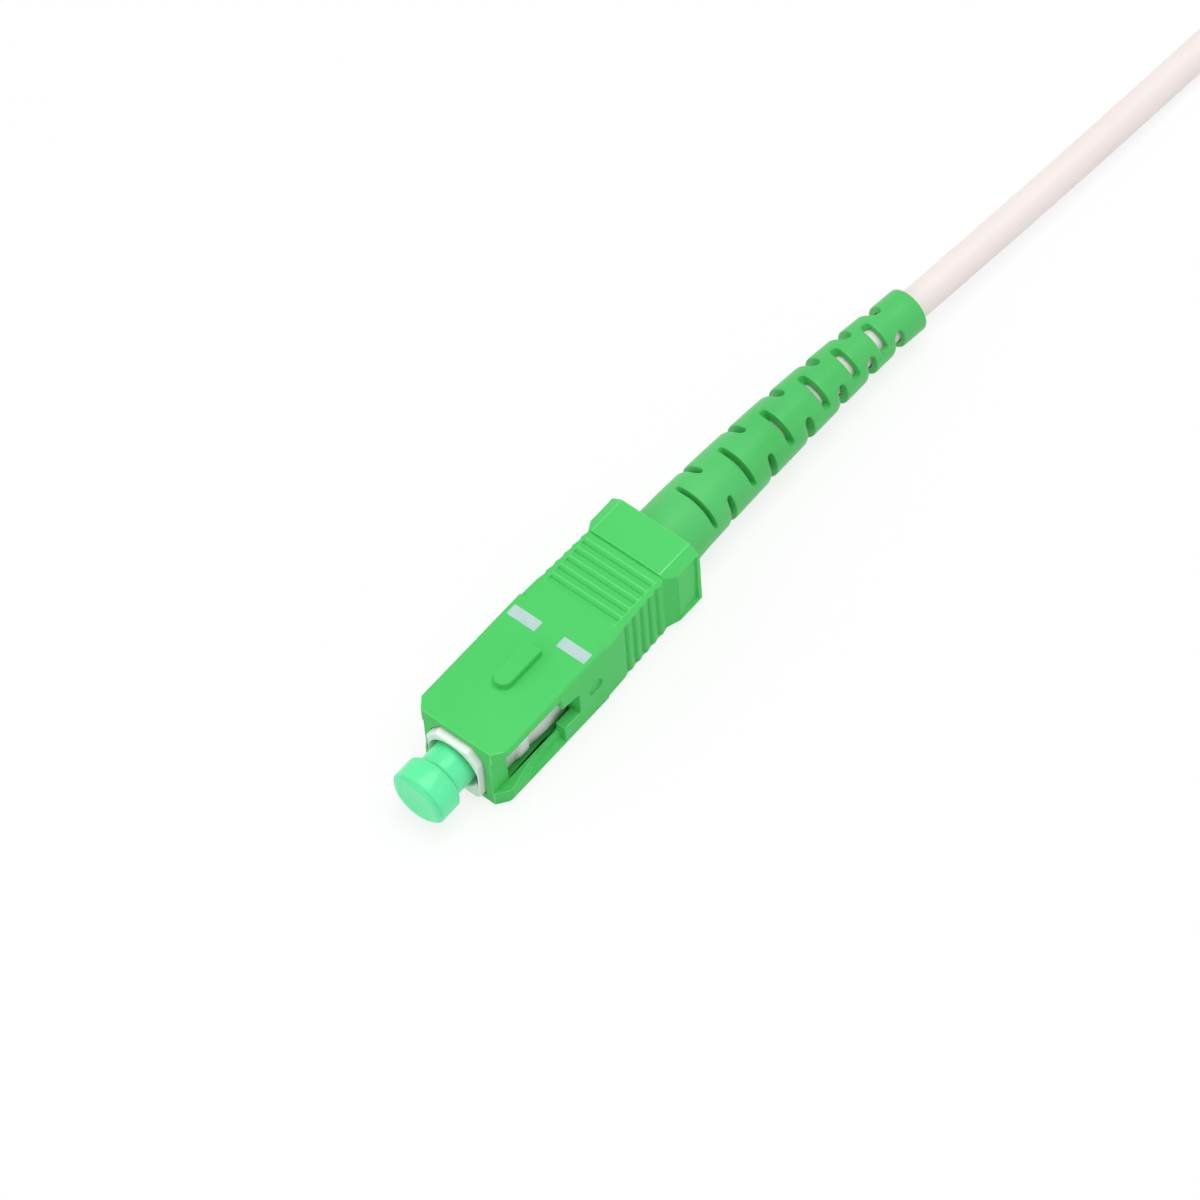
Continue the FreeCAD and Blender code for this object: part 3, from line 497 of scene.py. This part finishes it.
def notchGrip(shape):
    # a fine groove along every valley of the grip, and only a low step behind the last one
    valleys = gripValleys()
    end = sleeveFront + gripValues["end"] * mm
    shallow, deep = gripValues["flatSkin"]
    ahead, behind = gripValues["endReach"]
    low = gripValues["endRise"] * mm
    grooveEnd = (gripValues["grooveHalf"] + gripValues["grooveMargin"]) * mm
    for vertex in shape.verts:
        side = 1 if vertex.co.x > 0 else -1
        upward = 1 if vertex.co.z > axisHeight else -1
        fromAxis = abs(vertex.co.z - axisHeight)
        below = axisHeight - fromAxis
        onSkin = shallow * mm < below < deep * mm
        if inValley([vertex], valleys):
            if onSkin and abs(vertex.co.x) < gripValues["flatHalf"] * mm:
                vertex.co.z -= upward * gripValues["notch"] * mm
            elif onFlank(vertex.co) and fromAxis < grooveEnd:
                vertex.co.x -= side * gripValues["flankNotch"] * mm
        elif (onSkin and below > low and abs(vertex.co.x) < gripValues["flatHalf"] * mm
              and ahead * mm < vertex.co.y - end < behind * mm):
            vertex.co.z += upward * (below - low) * gripValues["endShare"]
    for face in shape.faces:
        if onFlank(face.calc_center_median()) and abs(face.normal.x) > gripValues["flankFacing"]:
            face.material_index = 0       # the flanks' ribs keep the plain finish, without the painted edge highlight


capRim = {
    "radius": 0.38,
    "steps": 6,
    "nearness": 0.02,             # the rim lies this close to the cap's front
    "turn": 40,                   # degrees, the least that the rim's faces turn by
}


def roundCap(shape):
    # the head's front rim is well rounded
    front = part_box("dust_cap")[0].y
    rim = [edge for edge in shape.edges if edge.calc_face_angle(0) > math.radians(capRim["turn"])
           and all(abs(v.co.y - front) < capRim["nearness"] * mm for v in edge.verts)]
    breakEdges(shape, rim, capRim["radius"] * mm, capRim["steps"])


copies = {
    "outer_housing": {
        "name": "sleeve_shell", "finish": greenShell, "body": "coupling_sleeve", "slot": "green_housing",
        "edge": 0.07, "paintedHighlightFinish": greenEdgePaintedHighlight, "before": openValleys, "after": notchGrip,
    },
    "plug_frame": {
        "name": "plug_frame_shell", "finish": whiteFrame, "body": "core", "slot": "white_frame",
        "edge": 0.1, "steps": 3,
    },
    "dust_cap": {
        "name": "dust_cap_soft", "finish": capPlastic, "body": "cap", "slot": "cap_clear",
        "edge": 0.07, "steps": 3, "crease": 45, "before": roundCap,
    },
    "ferrule": {
        "name": "ferrule_ground", "finish": ceramic, "body": "ferrule_unit", "slot": "zirconia",
        "edge": 0.02,
    },
    "ferrule_flange": {
        "name": "flange_plated", "finish": nickelPlate, "body": "ferrule_unit", "slot": "nickel",
        "edge": 0.04,
    },
    "tight_buffer": {
        "name": "buffer_moving", "finish": bufferSkin, "body": "ferrule_unit", "slot": "buffer_white",
        "edge": 0,
    },
    "spring_stop": {
        "name": "stop_body", "finish": nickelPlate, "body": "core", "slot": "stop_brass", "edge": 0.04,
    },
    "guide_tube": {
        "name": "guide_tube_clear", "finish": clearTube, "body": "core", "slot": "tube_clear", "edge": 0,
    },
    "aramid_yarn": {
        "name": "yarn_layer", "finish": aramid, "body": "core", "slot": "aramid", "edge": 0,
    },
    "crimp_ring": {
        "name": "crimp_sleeve", "finish": crimpMetal, "body": "core", "slot": "crimp_metal", "edge": 0.04,
    },
    "boot_jacket": {
        "name": "cord_in_boot", "finish": cordJacket, "body": "core", "slot": "cord_white", "edge": 0,
    },
    "boot_buffer": {
        "name": "buffer_in_cord", "finish": bufferSkin, "body": "core", "slot": "buffer_white", "edge": 0,
    },
    "hank_tie_right": {
        "name": "tie_right", "finish": tieStrap, "body": "core", "slot": "tie_strap",
        "edge": 0.25, "steps": 3,
    },
    "hank_tie_left": {
        "name": "tie_left", "finish": tieStrap, "body": "core", "slot": "tie_strap",
        "edge": 0.25, "steps": 3,
    },
}
for nodeName, values in copies.items():
    softCopy(nodeName, values)
    print("made", values["name"])

# these two keep their own solids and only take a finish
for nodeName, material in {"glass_fibre": glassCore, "ferrule_spring": springSteel}.items():
    cadNodes[nodeName].data.materials.clear()
    cadNodes[nodeName].data.materials.append(material)

bootValues = {
    "start": -5.1,                # front of the snout, along the axis from the start of the bend
    "step": -1.05,                # where the snout ends and the full body starts
    "snout": 5.6,                 # diameters
    "root": 6.15,
    "body": 6.32,
    "tip": 4.2,
    "bore": 3.1,
    "swell": 0.07,                # the taper is a little full in its middle
    "taper": 29.0,                # where the parallel end starts
    "end": 31.9,
    "firstRing": 0.5,             # behind the start of the bend
    "lastRing": 1.5,              # behind the taper
    "wallMiddle": 1.7,            # radius between the bore and the outer wall
    "crimpRoom": [(0, 1.95), (-2.45, 1.95), (-3.45, 2.5)],
    "bendSide": (4.2, -2.5),      # degrees towards +X and up, over the whole bend
    "aside": 0.08,                # how far the body leans out against its bend
    "asideLengths": (3, 5),       # over which the lean comes at the front and goes at the end
    "steps": 144,
    "rim": 0.07,                  # rounding of the slots' rims
    "rimSteps": 2,
    "endEdge": 0.22,
    "endSteps": 4,
    "endNearness": 0.01,
    "crease": 35,
}
# each row has its first place and the gaps to the next along the axis, its turn round the axis in degrees,
# half the angle that its slots open at the front and at the end, and how deep their shoulders dip
slotRows = {
    "top": {
        "first": 4.15, "gaps": [5.2, 5.1, 4.75, 3.95, 3.65],
        "turn": 62.5, "half": (52.5, 42.5), "shoulder": 0.1,
    },
    "side": {
        "first": 6.6, "gaps": [5.4, 4.95, 4.35, 3.85, 3.6],
        "turn": 160.0, "half": (60.0, 57.5), "shoulder": 0.28,
    },
}
slotValues = {
    "widths": (0.42, 0.95),       # first and last
    "margin": 0.001,
    "ringsAhead": (0.5, 0.2),     # rings of the wall before each slot, the first at its shoulder's start
    "ringsBehind": (0.15, 0.3),   # and behind it, the last at its shoulder's end
    "behindShare": 0.35,          # how deep the shoulder behind is, against the one in front
    "shoulderFade": 0.8,          # length over which a shoulder fades towards the slot's ends
    "endShare": 0.35,             # how much of its width a slot keeps at its very end
}
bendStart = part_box("boot")[0].y - bootValues["start"] * mm


def bootRadius(reach):
    # the outer wall at a place along the axis
    if reach <= 0:
        return bootValues["root"] / 2
    share = min(1, reach / bootValues["taper"])
    diameter = bootValues["body"] + (bootValues["tip"] - bootValues["body"]) * share
    return diameter / 2 + bootValues["swell"] * math.sin(math.pi * share)


def bootSlots():
    # every slot of the two rows and of the rows across from them
    slots = []
    start = slotRows["top"]["first"]
    narrow, wide = slotValues["widths"]
    angleStep = 360 / bootValues["steps"]
    for row in slotRows.values():
        near, far = row["half"]
        for number in range(len(row["gaps"]) + 1):
            reach = row["first"] + sum(row["gaps"][:number])
            share = (reach - start) / (bootValues["taper"] - start)
            half = round((near + (far - near) * share) / angleStep) * angleStep
            for turn in (row["turn"], row["turn"] - 180):
                slots.append({"reach": reach, "width": narrow + (wide - narrow) * share, "half": half,
                              "turn": turn, "shoulder": row["shoulder"]})
    return slots


def spinWall(slots):
    # half section of the wall, up the outside and back down the bore, spun round the axis
    taperEnd = bootValues["taper"]
    outside = {bootValues["firstRing"], taperEnd, taperEnd + bootValues["lastRing"]}
    inside = set()
    for slot in slots:
        front = slot["reach"] - slot["width"] / 2
        back = slot["reach"] + slot["width"] / 2
        outside.update((front, back))
        outside.update(front - ring for ring in slotValues["ringsAhead"])
        outside.update(back + ring for ring in slotValues["ringsBehind"])
        inside.update((front, back))
    bore = bootValues["bore"] / 2
    snout = bootValues["snout"] / 2
    root = bootValues["root"] / 2
    outline = [(bootValues["start"], snout), (bootValues["step"], snout), (bootValues["step"], root), (0, root)]
    outline += [(reach, bootRadius(reach)) for reach in sorted(outside)]
    outline += [(bootValues["end"], bootRadius(bootValues["end"])), (bootValues["end"], bore)]
    outline += [(reach, bore) for reach in sorted(inside, reverse=True)]
    outline += [(0, bore), *bootValues["crimpRoom"]]
    outline += [(bootValues["start"], bootValues["crimpRoom"][-1][1])]
    shape = bmesh.new()
    corners = [shape.verts.new((radius, reach, 0)) for reach, radius in outline]
    for first, second in zip(corners, corners[1:] + corners[:1]):
        shape.edges.new((first, second))
    bmesh.ops.spin(shape, geom=shape.verts[:] + shape.edges[:], cent=(0, 0, 0), axis=(0, 1, 0),
                   dvec=(0, 0, 0), angle=2 * math.pi, steps=bootValues["steps"], use_merge=True)
    return shape


def outsideWall(vertex):
    return math.hypot(vertex.co.x, vertex.co.z) > bootValues["wallMiddle"]


def angleAway(place, turn):
    # degrees round the axis between a place and a slot's middle
    angle = math.degrees(math.atan2(place.z, place.x))
    return abs((angle - turn + 180) % 360 - 180)


def fromSlotEnd(place, slot):
    # length round the wall from the slot's nearer end to a place within it
    return math.radians(slot["half"] - angleAway(place, slot["turn"])) * bootRadius(slot["reach"])


def openSlot(shape, slot, low, high):
    # opens the wall over the slot's window and joins its outside and its bore
    window = []
    for face in shape.faces:
        middle = face.calc_center_median()
        if low < middle.y < high and angleAway(middle, slot["turn"]) < slot["half"]:
            window.append(face)
    bmesh.ops.delete(shape, geom=window, context="FACES")
    rim = [edge for edge in shape.edges if edge.is_boundary]
    outerRim = [edge for edge in rim if all(outsideWall(v) for v in edge.verts)]
    bmesh.ops.bridge_loops(shape, edges=rim)
    return rim, outerRim


def roundSlotEnds(rim, slot):
    endRadius = slot["width"] / 2
    for vertex in {v for edge in rim for v in edge.verts}:
        inward = fromSlotEnd(vertex.co, slot)
        if inward < endRadius:
            share = max(slotValues["endShare"], math.sqrt(max(0, 1 - (1 - inward / endRadius) ** 2)))
            vertex.co.y = slot["reach"] + (vertex.co.y - slot["reach"]) * share


def sinkShoulders(shape, slot, low, high):
    # the wall dips towards the slot, most in front of it and at its middle
    aheadLength = max(slotValues["ringsAhead"])
    behindLength = max(slotValues["ringsBehind"])
    for vertex in shape.verts:
        if not outsideWall(vertex) or not low - aheadLength < vertex.co.y < high + behindLength:
            continue
        if vertex.co.y < slot["reach"]:
            dip = max(0, 1 - abs(vertex.co.y - low) / aheadLength)
        else:
            dip = max(0, 1 - abs(vertex.co.y - high) / behindLength) * slotValues["behindShare"]
        fade = min(1, max(0, fromSlotEnd(vertex.co, slot) / slotValues["shoulderFade"]))
        closer = 1 - slot["shoulder"] * dip ** 2 * fade / math.hypot(vertex.co.x, vertex.co.z)
        vertex.co.x *= closer
        vertex.co.z *= closer


def cutSlot(shape, slot):
    low = slot["reach"] - slot["width"] / 2 - slotValues["margin"]
    high = slot["reach"] + slot["width"] / 2 + slotValues["margin"]
    rim, outerRim = openSlot(shape, slot, low, high)
    roundSlotEnds(rim, slot)
    sinkShoulders(shape, slot, low, high)
    return outerRim


def bendBoot(shape):
    # carries every point from the straight axis to the bent one, and from millimetres to metres
    yaw, rise = bootValues["bendSide"]
    radius = bootValues["end"] / math.radians(math.hypot(yaw, rise))
    side = Vector((yaw, 0, rise)).normalized()
    leanIn, leanOut = bootValues["asideLengths"]
    for vertex in shape.verts:
        reach = max(0, vertex.co.y)
        angle = reach / radius
        offset = Vector((vertex.co.x, 0, vertex.co.z))
        if outsideWall(vertex):
            share = max(0, min(1, reach / leanIn, (bootValues["end"] - reach) / leanOut))
            offset -= side * bootValues["aside"] * share
        aside = offset.dot(side)
        offset += side * (aside * (math.cos(angle) - 1)) + Vector((0, -aside * math.sin(angle), 0))
        middle = side * (radius * (1 - math.cos(angle)))
        middle.y = min(0, vertex.co.y) + radius * math.sin(angle)
        vertex.co = (middle + offset) * mm + Vector((0, bendStart, axisHeight))


def makeBoot():
    slots = bootSlots()
    shape = spinWall(slots)
    rims = []
    for slot in slots:
        rims += cutSlot(shape, slot)
    bmesh.ops.recalc_face_normals(shape, faces=shape.faces)
    breakEdges(shape, rims, bootValues["rim"], bootValues["rimSteps"])
    crease = math.radians(bootValues["crease"])
    atEnd = bootValues["end"] - bootValues["endNearness"]
    endRing = [edge for edge in shape.edges if all(v.co.y > atEnd for v in edge.verts)
               and edge.calc_face_angle(0) > crease and outsideWall(edge.verts[0])]
    breakEdges(shape, endRing, bootValues["endEdge"], bootValues["endSteps"])
    bendBoot(shape)
    finishShading(shape, crease)
    piece = newPiece("slotted_boot", shape, greenBoot, "core")
    evenShading(piece)
    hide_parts("boot")


makeBoot()
print("boot slotted and bent")


marks = {
    "front": 11.31,               # behind the sleeve's front face
    "length": 1.1,
    "inner": 1.14,                # from the middle line
    "outer": 4.04,
    "thickness": 0.02,
    "corner": 0.08,
    "cornerSteps": 3,
}


def makeMark(name, side):
    # thin painted mark on the sleeve's flat top
    shape = bmesh.new()
    bmesh.ops.create_cube(shape, size=1)
    width = (marks["outer"] - marks["inner"]) * mm
    size = (width, marks["length"] * mm, marks["thickness"] * mm)
    bmesh.ops.scale(shape, vec=size, verts=shape.verts)
    upright = [edge for edge in shape.edges
               if abs(edge.verts[0].co.z - edge.verts[1].co.z) > marks["thickness"] / 2 * mm]
    breakEdges(shape, upright, marks["corner"] * mm, marks["cornerSteps"])
    middle = side * (marks["inner"] + marks["outer"]) / 2 * mm
    along = sleeveFront + (marks["front"] + marks["length"] / 2) * mm
    topFace = 2 * axisHeight
    bmesh.ops.translate(shape, vec=(middle, along, topFace), verts=shape.verts)
    newPiece(name, shape, markPaint, "coupling_sleeve")


makeMark("mark_right", 1)
makeMark("mark_left", -1)
print("marks painted")

cutEnd = {
    "yarn": {"diameter": 2.0, "proud": 0.12, "edge": 0.05},
    "buffer": {"diameter": 0.9, "proud": 0.3, "edge": 0.04},
    "depth": 0.5,                 # how far each reaches into the jacket
    "sides": 32,
    "edgeSteps": 3,
    "crease": 40,
}


def makeCutEnd(name, values, material):
    # what shows in the middle of the cord's cut end
    last, before = [Vector(point.co[:3]) for point in reversed(cord.data.splines[0].points[-2:])]
    outward = (last - before).normalized()
    length = (cutEnd["depth"] + values["proud"]) * mm
    radius = values["diameter"] / 2 * mm
    shape = bmesh.new()
    bmesh.ops.create_cone(shape, cap_ends=True, segments=cutEnd["sides"], radius1=radius, radius2=radius,
                          depth=length)
    rim = [edge for edge in shape.edges if all(v.co.z > 0 for v in edge.verts)]
    breakEdges(shape, rim, values["edge"] * mm, cutEnd["edgeSteps"])
    turn = outward.to_track_quat("Z", "Y").to_matrix().to_4x4()
    middle = last + outward * (values["proud"] * mm - length / 2)
    bmesh.ops.transform(shape, matrix=turn, verts=shape.verts)
    bmesh.ops.translate(shape, vec=middle, verts=shape.verts)
    finishShading(shape, math.radians(cutEnd["crease"]))
    return newPiece(name, shape, material, "core")


cutPieces = [
    makeCutEnd("cut_yarn", cutEnd["yarn"], aramid),
    makeCutEnd("cut_buffer", cutEnd["buffer"], bufferSkin),
]
print("cut end dressed")

cord.data.materials.append(cordJacket)
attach(cord, "core")
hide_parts("cord_run", "cord_hank")

stageValues = {
    "floorSize": 6.0,
    "floorColour": (250, 250, 250),
    "floorRoughness": 0.9,
    "floorWhite": 0.8,            # how far the floor shows as plain white, the rest keeps the shadow
    "worldColour": (255, 255, 255),
    "worldStrength": 0.41,
    "lamps": {                    # places in metres, power in watts
        "key lamp": {"place": (0.1, 0.1, 1.0), "size": 0.8, "power": 6.1},
        "fill lamp": {"place": (-0.7, -0.5, 0.7), "size": 0.9, "power": 1.5},
        "front edge lamp": {"place": (-0.39, -0.84, 0.38), "size": 0.3, "power": 0.9},
        "rear edge lamp": {"place": (0.84, 0.38, 0.39), "size": 0.3, "power": 0.3},
    },
}


def whiteShare(nodes, links, share):
    # how much of a ray sees plain white: only what the camera, a mirror or glass looks at
    path = nodes.new("ShaderNodeLightPath")
    total = path.outputs["Is Camera Ray"]
    for kind in ("Is Glossy Ray", "Is Transmission Ray"):
        highest = nodes.new("ShaderNodeMath")
        highest.operation = "MAXIMUM"
        links.new(total, highest.inputs[0])
        links.new(path.outputs[kind], highest.inputs[1])
        total = highest.outputs[0]
    part = nodes.new("ShaderNodeMath")
    part.operation = "MULTIPLY"
    links.new(total, part.inputs[0])
    part.inputs[1].default_value = share
    return part.outputs[0]


def makeFloor():
    mesh = bpy.data.meshes.new("floor")
    shape = bmesh.new()
    bmesh.ops.create_grid(shape, x_segments=1, y_segments=1, size=stageValues["floorSize"] / 2)
    shape.to_mesh(mesh)
    shape.free()
    floor = bpy.data.objects.new("floor", mesh)
    bpy.context.scene.collection.objects.link(floor)
    material, nodes, links, shader = newMaterial("floor paper")
    setInputs(shader, {
        "Base Color": linearColour(*stageValues["floorColour"]),
        "Roughness": stageValues["floorRoughness"],
    })
    white = nodes.new("ShaderNodeEmission")
    mix = nodes.new("ShaderNodeMixShader")
    links.new(whiteShare(nodes, links, stageValues["floorWhite"]), mix.inputs[0])
    links.new(shader.outputs[0], mix.inputs[1])
    links.new(white.outputs[0], mix.inputs[2])
    output = next(node for node in nodes if node.type == "OUTPUT_MATERIAL")
    links.new(mix.outputs[0], output.inputs[0])
    mesh.materials.append(material)


def makeWorld():
    world = bpy.data.worlds.new("studio")
    bpy.context.scene.world = world
    world.use_nodes = True
    nodes = world.node_tree.nodes
    links = world.node_tree.links
    background = nodes["Background"]
    background.inputs["Color"].default_value = linearColour(*stageValues["worldColour"])
    fit = nodes.new("ShaderNodeMapRange")
    setInputs(fit, {"To Min": stageValues["worldStrength"], "To Max": 1.0})
    links.new(whiteShare(nodes, links, 1), fit.inputs["Value"])
    links.new(fit.outputs["Result"], background.inputs["Strength"])


def makeLamp(name, values):
    data = bpy.data.lights.new(name, "AREA")
    data.shape = "DISK"
    data.size = values["size"]
    data.energy = values["power"]
    lamp = bpy.data.objects.new(name, data)
    lamp.location = values["place"]
    lamp.rotation_euler = (-Vector(values["place"])).to_track_quat("-Z", "Y").to_euler()
    bpy.context.scene.collection.objects.link(lamp)


makeFloor()
makeWorld()
for lampName, values in stageValues["lamps"].items():
    makeLamp(lampName, values)
bpy.context.scene.view_settings.view_transform = "Standard"
print("stage lit")
